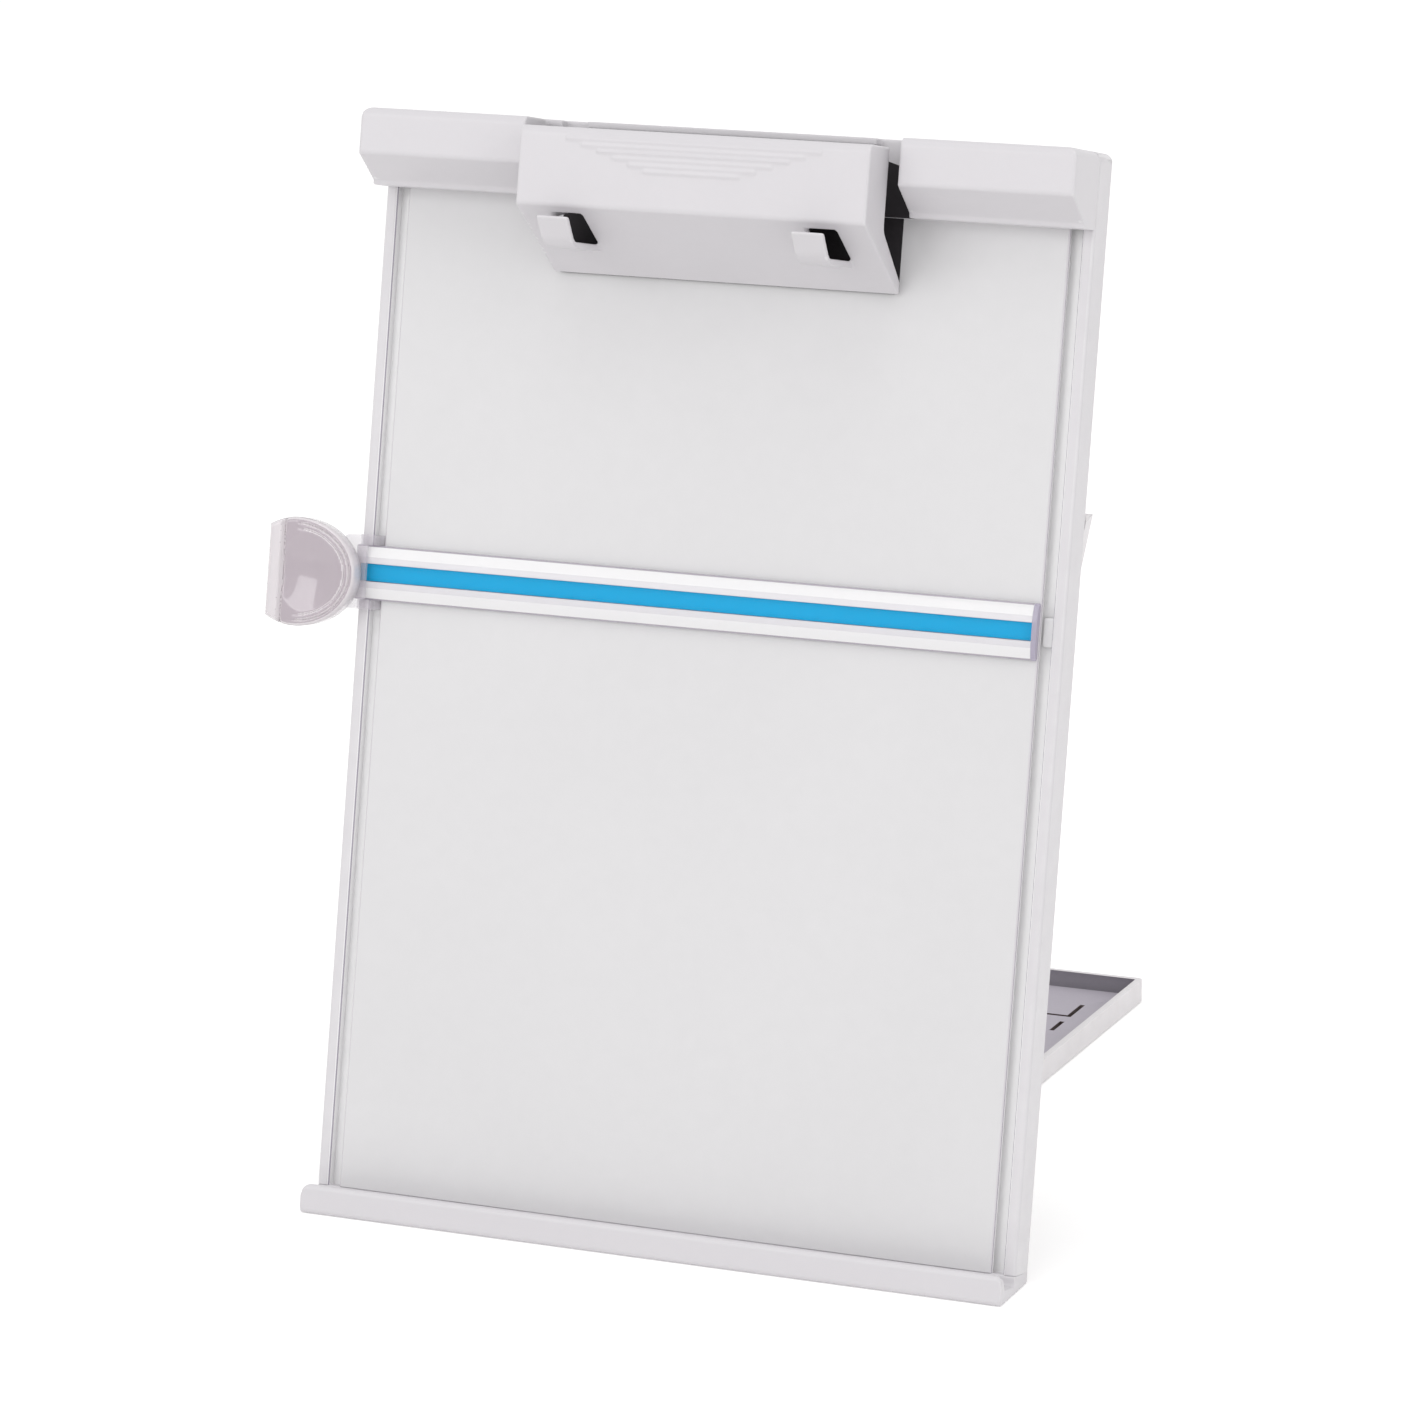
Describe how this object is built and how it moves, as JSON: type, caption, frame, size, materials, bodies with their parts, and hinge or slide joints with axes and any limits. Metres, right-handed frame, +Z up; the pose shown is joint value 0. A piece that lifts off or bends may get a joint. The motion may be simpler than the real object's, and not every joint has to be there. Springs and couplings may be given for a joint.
{
  "type": "copy holder with line guide",
  "caption": "Leaning desk copy holder with a ledge, a rocker clip with hooks, a sliding clear line guide and a fold-flat rear leg on a long base tray.",
  "frame": {"origin": "on the desk under the middle of the foot of the sheet face", "axes": "+X to the reader's right along the ledge, +Y away from the reader behind the board, +Z up from the desk"},
  "size_m": [0.2545, 0.3145, 0.3306],
  "materials": {
    "off_white_plastic": "fine satin moulded plastic, light warm grey",
    "clear_plastic": "clear moulded acrylic, polished, faint lilac tint",
    "blue_tint": "see-through blue tint along the reading line",
    "zinc_steel": "bright zinc-plated steel",
    "spring_steel": "spring steel strip",
    "grey_rubber": "soft grey rubber"
  },
  "bodies": {
    "board": {"board_frame": "off_white_plastic", "back_panel": "off_white_plastic", "back_screws": "zinc_steel", "header_cover": "off_white_plastic", "ledge_rail": "off_white_plastic", "ledge_screws": "zinc_steel", "clip_pivot_pin": "zinc_steel", "clip_spring_left": "spring_steel", "clip_spring_right": "spring_steel", "tray_hinge_rod": "zinc_steel"},
    "clip": {"clip_lever": "off_white_plastic", "clip_lip_pad": "grey_rubber"},
    "guide": {"guide_bar": "clear_plastic", "guide_stripe": "blue_tint", "guide_end_foot": "clear_plastic", "guide_carriage": "clear_plastic", "guide_grip": "clear_plastic", "guide_leaf_spring": "spring_steel"},
    "tray": {"base_tray": "off_white_plastic", "tray_foot_pads": "grey_rubber", "leg_pivot_rod": "zinc_steel"},
    "leg": {"rear_leg": "off_white_plastic"}
  },
  "joints": [
    {"name": "guide_slide", "type": "slide", "parent": "board", "child": "guide", "axis": [0, 0.1908, 0.9816], "range_m": [-0.166, 0.082]},
    {"name": "clip_pivot", "type": "hinge", "parent": "board", "child": "clip", "pos_m": [0, 0.04721, 0.30611], "axis": [-1, 0, 0], "range_deg": [0, 18], "stiffness_Nm_per_rad": 0.25, "springref_deg": -20.05, "deforming": ["clip_spring_left", "clip_spring_right"]},
    {"name": "tray_fold", "type": "hinge", "parent": "board", "child": "tray", "pos_m": [0, 0.0184, 0.0115], "axis": [1, 0, 0], "range_deg": [0, 79]},
    {"name": "leg_fold", "type": "hinge", "parent": "tray", "child": "leg", "pos_m": [0, 0.088, 0.0115], "axis": [-1, 0, 0], "range_deg": [0, 98.36]}
  ],
  "couplings": [
    {"joint": "leg_fold", "follows": "tray_fold", "ratio": 1.245}
  ]
}
